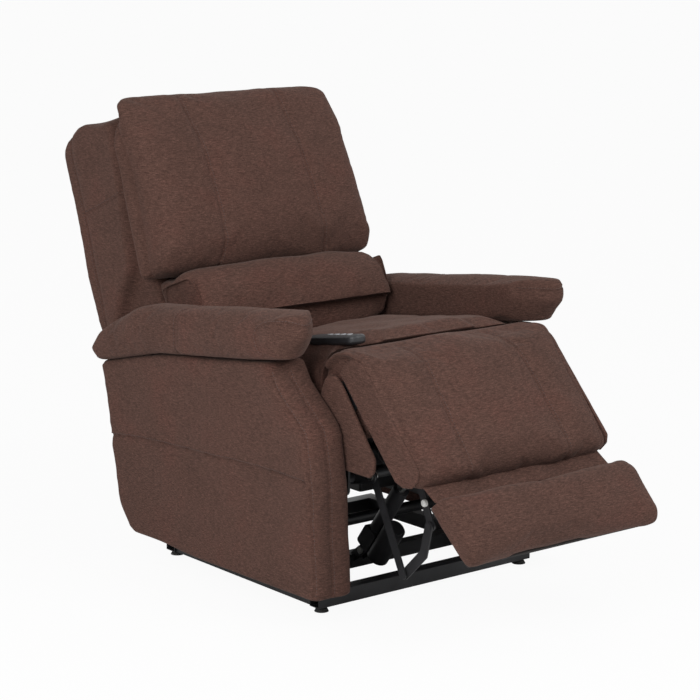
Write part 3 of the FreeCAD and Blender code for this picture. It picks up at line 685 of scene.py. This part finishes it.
def make_back():
    obj = soft_copy("back_shell", "back_outer", voxel=0.010)
    edge = back_line((-0.330, 0.13, -0.165), (-0.330, 0.40, -0.165), (-0.330, 0.62, -0.165),
                     (-0.322, 0.675, -0.15), (-0.30, 0.70, -0.13), (-0.15, 0.700, -0.13),
                     (0.0, 0.700, -0.13))
    wing = back_line((-0.330, 0.48, -0.16), (-0.330, 0.485, -0.05), (-0.33, 0.49, 0.03))
    rear = back_line((0.0, 0.0, -0.2), (0.0, 0.3, -0.2), (0.0, 0.55, -0.2), (0.0, 0.69, -0.2))
    mesh = obj.data
    co = positions(mesh)
    up, out = on_back(co)
    drop = rise(np.abs(co[:, 0]), 0.25, 0.06) * rise(up, 0.52, 0.16)
    full = rise(np.abs(co[:, 0]), 0.25, 0.06) * rise(up, 0.58, 0.06)
    drop = 0.018 * drop - 0.024 * full * np.exp(-((out + 0.10) / 0.05) ** 2)
    swell = 0.011 * fall(out, -0.03, 0.10) * rise(co[:, 2], 0.52, 0.1)
    co[:, 1] += swell * math.cos(LEAN) - drop * math.sin(LEAN)
    co[:, 2] -= swell * math.sin(LEAN) + drop * math.cos(LEAN)
    set_positions(mesh, co)
    lines = lay_on(obj, both([edge, wing]) + [rear])
    sink(obj, lines, depth=0.003, width=0.014)
    ruffle(obj, size=0.12, depth=0.005, seed=8.3, keep=below(2, 0.50, 0.05))
    refine(obj)
    lines = lay_on(obj, lines)
    sink(obj, lines, depth=0.0025, width=0.0045)
    mark(obj, lines)
    finish_thread("stitch_back", obj, lines[:4], 0.006, "back")
    finish_piece(obj, "back", "fabric", "upholstery", "back_shell", fill=0.9)


NOSE_X = (0.302, 0.33, 0.36, 0.385, 0.41, 0.43, 0.441)
NOSE_Y = (-0.235, -0.276, -0.308, -0.324, -0.318, -0.290, -0.264)


def round_nose(obj):
    """Draw the front of an arm pad back to its rounded plan, most at the inner side."""
    mesh = obj.data
    co = positions(mesh)
    front = np.interp(np.abs(co[:, 0]), NOSE_X, NOSE_Y)
    start = -0.130
    share = (front - start) / (-0.358 - start)
    near = co[:, 1] < start
    co[near, 1] = start + (co[near, 1] - start) * share[near]
    set_positions(mesh, co)
    relax(obj, rounds=6)


ARM_ORIGIN = -0.371


def under_arm_pad(co):
    """Pins the underside of an arm pad, which lies on the arm body's sloping top."""
    y = co[:, 1] - ARM_ORIGIN
    front = 0.5885 + (0.168 - y) * 0.119
    rear = 0.537 + (0.6 - y) * 0.232
    floor = np.where(y > 0.6, rear, front)
    return fall(co[:, 2], floor + 0.014, 0.010)


def make_arm_pads():
    obj = soft_copy("arm_pad_left", "armrest_pad_left", voxel=0.009)
    round_nose(obj)
    cap_seam = [(-0.440, -0.215, 0.606), (-0.441, -0.196, 0.640), (-0.440, -0.204, 0.664),
                (-0.434, -0.232, 0.680), (-0.422, -0.285, 0.688), (-0.400, -0.322, 0.684),
                (-0.370, -0.322, 0.682), (-0.335, -0.288, 0.682), (-0.308, -0.245, 0.680)]
    cross_seam = [(-0.430, 0.126, 0.540), (-0.441, 0.124, 0.600), (-0.436, 0.122, 0.655),
                  (-0.40, 0.12, 0.672), (-0.35, 0.12, 0.676), (-0.306, 0.12, 0.665)]
    lines = lay_on(obj, [cap_seam, cross_seam])
    sink(obj, lines, depth=0.002, width=0.010)
    pins = held(under_arm_pad, near_lines(lines), above(0, -0.306, 0.004))
    inflate(obj, pins, start_in=0.004, cap=0.018, loose=0.006)
    ruffle(obj, size=0.09, depth=0.004, seed=1.9, stretch=(1, 0.6, 1), keep=under_arm_pad)
    refine(obj)
    lines = lay_on(obj, lines)
    sink(obj, lines, depth=0.003, width=0.004)
    mark(obj, lines)
    fence(obj, low=(-0.452, None, None), high=(-0.3005, None, None))
    finish_sides(obj, "armrest_pad_right", "seat_frame", "arm_pad_", fill=0.7)
    thread = finish_thread("stitch_pad_left", obj, lines, 0.005, "seat_frame")
    finish_piece(mirrored_copy(thread, "stitch_pad_right"), "seat_frame", "thread", "upholstery")


def make_arm_panels():
    obj = soft_copy("arm_panel_left", "armrest_side_left", voxel=0.010)
    outer = [(-0.420, -0.235, 0.572), (-0.420, -0.242, 0.539), (-0.420, -0.289, 0.497),
             (-0.420, -0.341, 0.455), (-0.420, -0.356, 0.421), (-0.420, -0.370, 0.340),
             (-0.420, -0.377, 0.249), (-0.420, -0.388, 0.075)]
    middle = [(-0.363, y - 0.004, z) for x, y, z in outer]
    pocket = [(-0.421, 0.440, 0.300), (-0.421, 0.305, 0.315), (-0.421, 0.132, 0.324),
              (-0.421, -0.072, 0.335), (-0.421, -0.226, 0.340), (-0.421, -0.352, 0.341)]
    lines = lay_on(obj, [outer, middle, pocket])
    sink(obj, lines, depth=0.003, width=0.016)
    inner = above(0, -0.312, 0.010)
    ruffle(obj, size=0.13, depth=0.006, seed=6.2, stretch=(1, 0.8, 1.1), keep=inner)
    refine(obj)
    lines = lay_on(obj, lines)
    mesh = obj.data
    co = positions(mesh)
    d = distance_to(co, lines[2:])
    line = np.array([list(p) for p in lines[2]])
    order = np.argsort(line[:, 1])
    over = co[:, 2] - np.interp(co[:, 1], line[order, 1], line[order, 2])
    lip = np.exp(-(d / 0.010) ** 2) * (over > 0) * (co[:, 0] < -0.40)
    set_positions(mesh, co - np.array([1.0, 0, 0]) * (lip * 0.0035)[:, None])
    sink(obj, lines, depth=0.003, width=0.0042)
    mark(obj, lines)
    fence(obj, low=(-0.433, None, None), high=(-0.3025, None, None))
    finish_sides(obj, "armrest_side_right", "seat_frame", "arm_panel_", fill=0.85)
    thread = finish_thread("stitch_side_left", obj, lines, 0.005, "seat_frame")
    finish_piece(mirrored_copy(thread, "stitch_side_right"), "seat_frame", "thread", "upholstery")


def side_form(name, outline, levels):
    """A closed form from one side outline, repeated across x with small insets."""
    count = len(outline)
    middle = (sum(p[0] for p in outline) / count, sum(p[1] for p in outline) / count)
    verts = []
    for x, grow in levels:
        for y, z in outline:
            away = Vector((y - middle[0], z - middle[1]))
            away = away.normalized() * grow
            verts.append((x, y + away[0], z + away[1]))
    faces = [tuple(range(count))]
    for level in range(len(levels) - 1):
        low, high = level * count, (level + 1) * count
        for i in range(count):
            n = (i + 1) % count
            faces.append((low + i, high + i, high + n, low + n))
    faces.append(tuple(reversed(range((len(levels) - 1) * count, len(levels) * count))))
    return from_faces(name, verts, faces, outward=True)


def make_cheeks():
    outline = [(-0.455, 0.392), (-0.400, 0.462), (-0.335, 0.545), (-0.318, 0.558), (-0.295, 0.560),
               (-0.280, 0.548), (-0.266, 0.520), (-0.262, 0.500), (0.186, 0.500), (0.186, 0.348),
               (-0.438, 0.348), (-0.452, 0.362)]
    levels = [(-0.2947, -0.003), (-0.2965, 0.0), (-0.3000, 0.001), (-0.3035, 0.0),
              (-0.3050, -0.003)]
    obj = side_form("cheek_left", outline, levels)
    remesh(obj, voxel=0.004)
    ruffle(obj, size=0.08, depth=0.0012, seed=4.4)
    refine(obj)
    fence(obj, low=(-0.3055, None, None), high=(-0.2943, None, None))
    mark(obj, [])
    finish_sides(obj, "cheek_right", "seat_frame", "seat_cheek_", fill=0.9)


def near_knee(co):
    """Pins the seat cushion's front, which the chaise pad turns in."""
    return fall(np.hypot(co[:, 1] - KNEE[0], co[:, 2] - KNEE[1]), KNEE_HOLD, 0.010)


def make_seat():
    obj = soft_copy("seat_cushion", "cushion_seat", voxel=0.010)
    pins = held(below(2, 0.458, 0.012), near_knee)
    inflate(obj, pins, start_in=0.004, cap=0.024, loose=0.02)
    ruffle(obj, size=0.09, depth=0.006, seed=9.4, keep=near_knee)
    refine(obj)
    mark(obj, [])
    fence(obj, low=(-PAD_HALF, None, 0.4505), high=(PAD_HALF, None, None))
    mesh = obj.data
    co = positions(mesh)
    dy, dz = co[:, 1] - KNEE[0], co[:, 2] - KNEE[1]
    reach = np.maximum(np.hypot(dy, dz), 1e-6)
    push = np.maximum(0.0, KNEE_SOCKET - reach)
    co[:, 1] += dy / reach * push
    co[:, 2] += dz / reach * push
    set_positions(mesh, co)
    finish_piece(obj, "seat_frame", "fabric", "upholstery", "seat_cushion", fill=0.7)


def flare_sides(obj):
    """Widen the chaise pad above its hinge plates, most at the crest of the knee roll."""
    mesh = obj.data
    co = positions(mesh)
    dy, dz = co[:, 1] - KNEE[0], co[:, 2] - KNEE[1]
    out = dy * CALF_OUT[0] + dz * CALF_OUT[1]
    reach = np.hypot(dy, dz)
    turn = np.degrees(np.arctan2(-dy, dz))
    side = rise(np.abs(co[:, 0]), 0.20, 0.08) ** 2
    wide = 0.0088 * rise(out, 0.045, 0.02)
    crest = rise(reach, 0.082, 0.010) * rise(turn, -64, 10) * fall(turn, 44, 34)
    wide = np.maximum(wide, 0.0205 * crest)
    sag = rise(np.abs(co[:, 0]), 0.03, 0.09) * fall(np.abs(co[:, 0]), 0.275, 0.07)
    sag *= rise(turn, -30, 25) * fall(turn, 40, 30) * rise(reach, 0.06, 0.03)
    co[:, 0] += np.sign(co[:, 0]) * wide * side
    co[:, 2] -= 0.013 * sag
    set_positions(mesh, co)


def under_leg_pad(co):
    """Pins the underside of the chaise pad, which lies on its board."""
    start, end = Vector((-0.345, 0.512)), Vector((-0.506, 0.338))
    along = (end - start).normalized()
    depth = (co[:, 2] - start[1]) * along[0] - (co[:, 1] - start[0]) * along[1]
    return rise(depth, -0.016, 0.010)


def make_chaise_sides():
    """Thin side panels on the chaise pad, drawn along and out from the calf's line."""
    rim = [(-0.052, 0.008), (-0.060, 0.040), (-0.050, 0.075), (-0.020, 0.088), (0.262, 0.090),
           (0.276, 0.075), (0.278, 0.046), (0.262, 0.022), (0.238, 0.008)]
    outline = [(KNEE[0] + CALF[0] * a + CALF_OUT[0] * n, KNEE[1] + CALF[1] * a + CALF_OUT[1] * n)
               for a, n in rim]
    levels = [(-0.2843, -0.003), (-0.2870, 0.0), (-0.2900, 0.0), (-0.2925, -0.004)]
    side = side_form("chaise_side_left", outline, levels)
    remesh(side, voxel=0.003)
    refine(side)
    fence(side, low=(-0.2932, None, None), high=(-0.2843, None, None))
    mark(side, [])
    finish_sides(side, "chaise_side_right", "footrest", fill=0.8)


def make_leg_pad():
    obj = soft_copy("leg_pad", "chaise_pad", voxel=0.009)
    run = [(-0.132, -0.335, 0.626), (-0.134, -0.385, 0.618), (-0.138, -0.435, 0.590),
           (-0.142, -0.468, 0.552), (-0.146, -0.504, 0.508), (-0.150, -0.552, 0.452),
           (-0.152, -0.592, 0.402), (-0.150, -0.606, 0.368)]
    side = [(-0.266, -0.290, 0.612), (-0.268, -0.345, 0.624), (-0.268, -0.405, 0.604),
            (-0.269, -0.452, 0.560), (-0.269, -0.50, 0.506), (-0.269, -0.555, 0.443),
            (-0.268, -0.598, 0.393), (-0.264, -0.606, 0.370)]
    lines = lay_on(obj, both([run]) + both([side]))
    sink(obj, lines, depth=0.002, width=0.012)
    fixed = held(under_leg_pad, lambda co: rise(co[:, 1], -0.330, 0.02), near_sides)
    inflate(obj, held(near_lines(lines), fixed), start_in=0.003, cap=0.014, loose=0.008)
    ruffle(obj, size=0.10, depth=0.004, seed=2.6, keep=fixed)
    refine(obj)
    lines = lay_on(obj, lines)
    sink(obj, lines, depth=0.003, width=0.004)
    mark(obj, lines)
    fence(obj, low=(-PAD_HALF, None, None), high=(PAD_HALF, None, None))
    flare_sides(obj)
    finish_thread("stitch_chaise", obj, lines[:2], 0.006, "footrest")
    make_chaise_sides()
    finish_piece(obj, "footrest", "fabric", "upholstery", "leg_pad", fill=0.8)


def make_flap():
    obj = soft_copy("flap_pad", "flap_pad_soft", voxel=0.009)
    inflate(obj, lambda co: near_sides(co) * 0.6, start_in=0.003, cap=0.012, loose=0.006)
    ruffle(obj, size=0.10, depth=0.004, seed=7.5)
    refine(obj)
    mark(obj, [])
    mesh = obj.data
    co = positions(mesh)
    co[:, 0] *= 1.02
    set_positions(mesh, co)
    fence(obj, low=(-0.291, None, None), high=(0.291, None, None))
    finish_piece(obj, "footrest_flap", "fabric", "upholstery", "flap_pad", fill=0.8)


def make_gusset():
    """Strip of the same cloth that closes the gap between the chaise pad and its flap."""
    path = [(-0.572, 0.356), (-0.585, 0.350), (-0.596, 0.344), (-0.606, 0.338), (-0.615, 0.331),
            (-0.622, 0.324)]
    verts = []
    faces = []
    columns = 60
    half = 0.268
    for i in range(columns + 1):
        share = i / columns
        x = -half + 2 * half * share
        tuck = 0.004 * math.sin(share * math.pi * 9) * math.sin(share * math.pi)
        for k, (y, z) in enumerate(path):
            sag = math.sin(k / (len(path) - 1) * math.pi) * (0.003 + tuck)
            verts.append((x, y + sag * 0.5, z - sag))
    rows = len(path)
    for i in range(columns):
        for k in range(rows - 1):
            at, beside = i * rows + k, (i + 1) * rows + k
            faces.append((at, at + 1, beside + 1, beside))
    obj = from_faces("flap_gusset", verts, faces)
    thick = obj.modifiers.new("thick", "SOLIDIFY")
    thick.thickness = 0.003
    bake(obj)
    refine(obj)
    mark(obj, [])
    obj.data.materials.clear()
    obj.data.materials.append(MAT["fabric"])
    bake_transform(obj)


make_head_pillow()
make_lumbar()
make_back()
make_arm_pads()
make_arm_panels()
make_cheeks()
make_seat()
make_leg_pad()
make_flap()
make_gusset()


# Metal and plastic details

def lathe(name, profile, centre, axis, steps=40):
    """A turned form from (radius, height) points round an axis."""
    verts = []
    faces = []
    count = len(profile)
    turn = Vector((0, 0, 1)).rotation_difference(Vector(axis)).to_matrix()
    for s in range(steps):
        angle = math.tau * s / steps
        for r, h in profile:
            place = Vector((r * math.cos(angle), r * math.sin(angle), h))
            verts.append(turn @ place + Vector(centre))
    for s in range(steps):
        n = (s + 1) % steps
        for k in range(count - 1):
            faces.append((s * count + k, n * count + k, n * count + k + 1, s * count + k + 1))
    obj = from_faces(name, verts, faces, merge=0.00001, outward=True, smooth=True)
    split = obj.modifiers.new("edges", "EDGE_SPLIT")
    split.split_angle = math.radians(35)
    bake(obj)
    return obj


def hex_bolt(name, centre, axis, size, height):
    """A bolt head: washer, six-sided head with a chamfered top."""
    ring = [(0, 0), (size * 0.82, 0), (size * 0.82, 0.0012), (size * 0.5, 0.0014), (0, 0.0014)]
    head = [(0, 0.001), (size * 0.56, 0.001), (size * 0.56, height * 0.85), (size * 0.46, height),
            (0, height)]
    return (lathe(name + "_washer", ring, centre, axis),
            lathe(name, head, centre, axis, steps=6))


BUMPER = ((0, 0), (0.0065, 0), (0.0085, 0.0015), (0.0088, 0.006), (0.0075, 0.0085),
          (0.004, 0.0095), (0, 0.0097))
# Name, body, place on the right-hand side, which way the head looks, size and height.
BOLTS = (("bolt_lift_", "base", (0.298, -0.221, 0.105), 1, 0.013, 0.006),
         ("bolt_guide_", "base", (0.298, -0.262, 0.132), 1, 0.013, 0.006),
         ("bolt_link_", "seat_frame", (0.1972, -0.329, 0.315), -1, 0.012, 0.005))


def make_details():
    for side, tag in ((-1, "l"), (1, "r")):
        bumper = lathe("bumper_" + tag, BUMPER, (side * 0.1905, -0.501, 0.286), (side, 0, 0))
        finish_piece(bumper, "footrest", "white", "zinc_steel")
        for label, body, (x, y, z), way, size, height in BOLTS:
            for piece in hex_bolt(label + tag, (side * x, y, z), (side * way, 0, 0), size, height):
                finish_piece(piece, body, "zinc", "zinc_steel")


make_details()


# Stage, light and camera

def make_stage():
    reach = 40
    floor = from_faces("floor", [(-reach, -reach, 0), (reach, -reach, 0), (reach, reach, 0),
                                 (-reach, reach, 0)], [(0, 1, 2, 3)])
    material, tree, shader = new_material("pale_floor")
    shader.inputs["Base Color"].default_value = (0.9, 0.9, 0.9, 1)
    shader.inputs["Roughness"].default_value = 0.9
    paths = add(tree, "ShaderNodeLightPath")
    glow = add(tree, "ShaderNodeEmission")
    glow.inputs["Color"].default_value = (1, 1, 1, 1)
    glow.inputs["Strength"].default_value = 1.0
    share = add(tree, "ShaderNodeMath", operation="MULTIPLY")
    share.inputs[1].default_value = 0.94
    tree.links.new(paths.outputs["Is Camera Ray"], share.inputs[0])
    mix = add(tree, "ShaderNodeMixShader")
    tree.links.new(share.outputs[0], mix.inputs[0])
    tree.links.new(shader.outputs[0], mix.inputs[1])
    tree.links.new(glow.outputs[0], mix.inputs[2])
    tree.links.new(mix.outputs[0], tree.nodes["Material Output"].inputs["Surface"])
    floor.data.materials.append(material)


def make_world():
    world = bpy.data.worlds.new("studio")
    scene.world = world
    world.use_nodes = True
    tree = world.node_tree
    tree.nodes.clear()
    paths = add(tree, "ShaderNodeLightPath")
    soft = add(tree, "ShaderNodeBackground")
    soft.inputs["Color"].default_value = (1, 1, 1, 1)
    soft.inputs["Strength"].default_value = 0.40
    bright = add(tree, "ShaderNodeBackground")
    bright.inputs["Color"].default_value = (1, 1, 1, 1)
    bright.inputs["Strength"].default_value = 1.0
    either = add(tree, "ShaderNodeMath", operation="MAXIMUM")
    tree.links.new(paths.outputs["Is Camera Ray"], either.inputs[0])
    tree.links.new(paths.outputs["Is Glossy Ray"], either.inputs[1])
    mix = add(tree, "ShaderNodeMixShader")
    out = add(tree, "ShaderNodeOutputWorld")
    tree.links.new(either.outputs[0], mix.inputs[0])
    tree.links.new(soft.outputs[0], mix.inputs[1])
    tree.links.new(bright.outputs[0], mix.inputs[2])
    tree.links.new(mix.outputs[0], out.inputs[0])


def area_light(name, place, target, size, power):
    lamp = bpy.data.lights.new(name, "AREA")
    lamp.shape = "DISK"
    lamp.size = size
    lamp.energy = power
    obj = bpy.data.objects.new(name, lamp)
    scene.collection.objects.link(obj)
    obj.location = place
    obj.rotation_euler = (Vector(target) - Vector(place)).to_track_quat("-Z", "Y").to_euler()


CAMERA_PLACE = (-3.3686, -4.1879, 1.6145)


def make_camera():
    azimuth = math.radians(-38.748)
    height = math.radians(11.397)
    roll = math.radians(0.170)
    level = math.cos(height)
    back = Vector((math.sin(azimuth) * level, -math.cos(azimuth) * level, math.sin(height)))
    right = Vector((math.cos(azimuth), math.sin(azimuth), 0))
    up = back.cross(right)
    side = math.cos(roll) * right + math.sin(roll) * up
    top = -math.sin(roll) * right + math.cos(roll) * up
    camera = bpy.data.cameras.new("camera")
    camera.lens = 115.82
    camera.sensor_width = 36.0
    camera.clip_end = 60
    obj = bpy.data.objects.new("camera", camera)
    scene.collection.objects.link(obj)
    matrix = Matrix((side, top, back)).transposed().to_4x4()
    matrix.translation = CAMERA_PLACE
    obj.matrix_world = matrix
    scene.camera = obj


make_stage()
make_world()
area_light("key", (1.2, -3.6, 3.4), (0, -0.1, 0.5), size=2.6, power=75)
area_light("fill", (-3.6, -1.6, 2.4), (0, 0, 0.5), size=2.4, power=85)
make_camera()
scene.view_settings.view_transform = "Standard"
